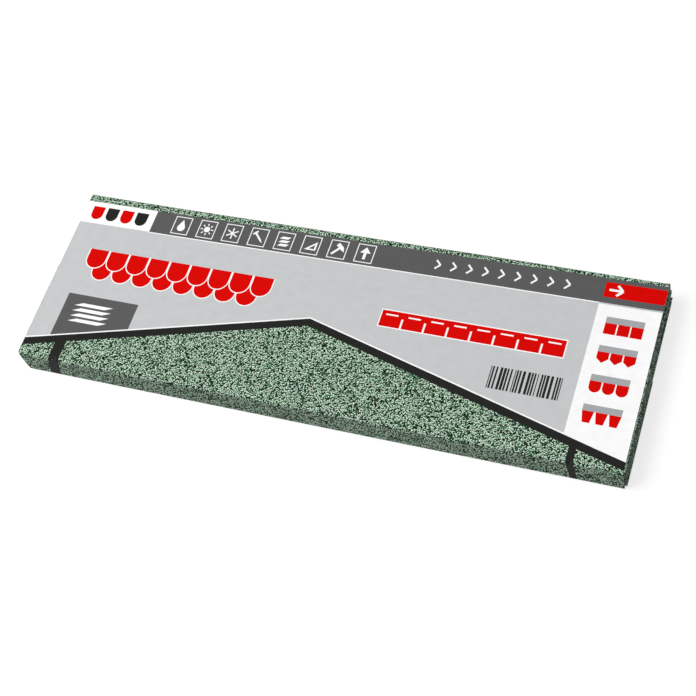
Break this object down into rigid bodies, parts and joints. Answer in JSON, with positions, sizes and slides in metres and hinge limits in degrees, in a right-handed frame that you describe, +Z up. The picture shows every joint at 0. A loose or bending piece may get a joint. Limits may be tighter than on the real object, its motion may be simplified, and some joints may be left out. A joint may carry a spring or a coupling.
{
  "type": "asphalt shingle bundle",
  "caption": "Flat bundle of green three-tab bitumen roof shingles, stacked and held by a printed wrapper sheet that is lapped underneath and open at both ends.",
  "frame": {"origin": "on the floor, under the middle of the bundle", "axes": "+X along the strips, +Y from the front of the bundle to its back, +Z up"},
  "size_m": [1.0032, 0.323, 0.0554],
  "materials": {
    "shingle": "green mineral granules on bitumen, matte",
    "wrapper": "printed wrapper sheet, satin"
  },
  "bodies": {
    "root": {"shingle_01": "shingle", "shingle_02": "shingle", "shingle_03": "shingle", "shingle_04": "shingle", "shingle_05": "shingle", "shingle_06": "shingle", "shingle_07": "shingle", "shingle_08": "shingle", "shingle_09": "shingle", "shingle_10": "shingle", "shingle_11": "shingle", "shingle_12": "shingle", "shingle_13": "shingle", "shingle_14": "shingle", "wrapper": "wrapper"}
  },
  "joints": []
}
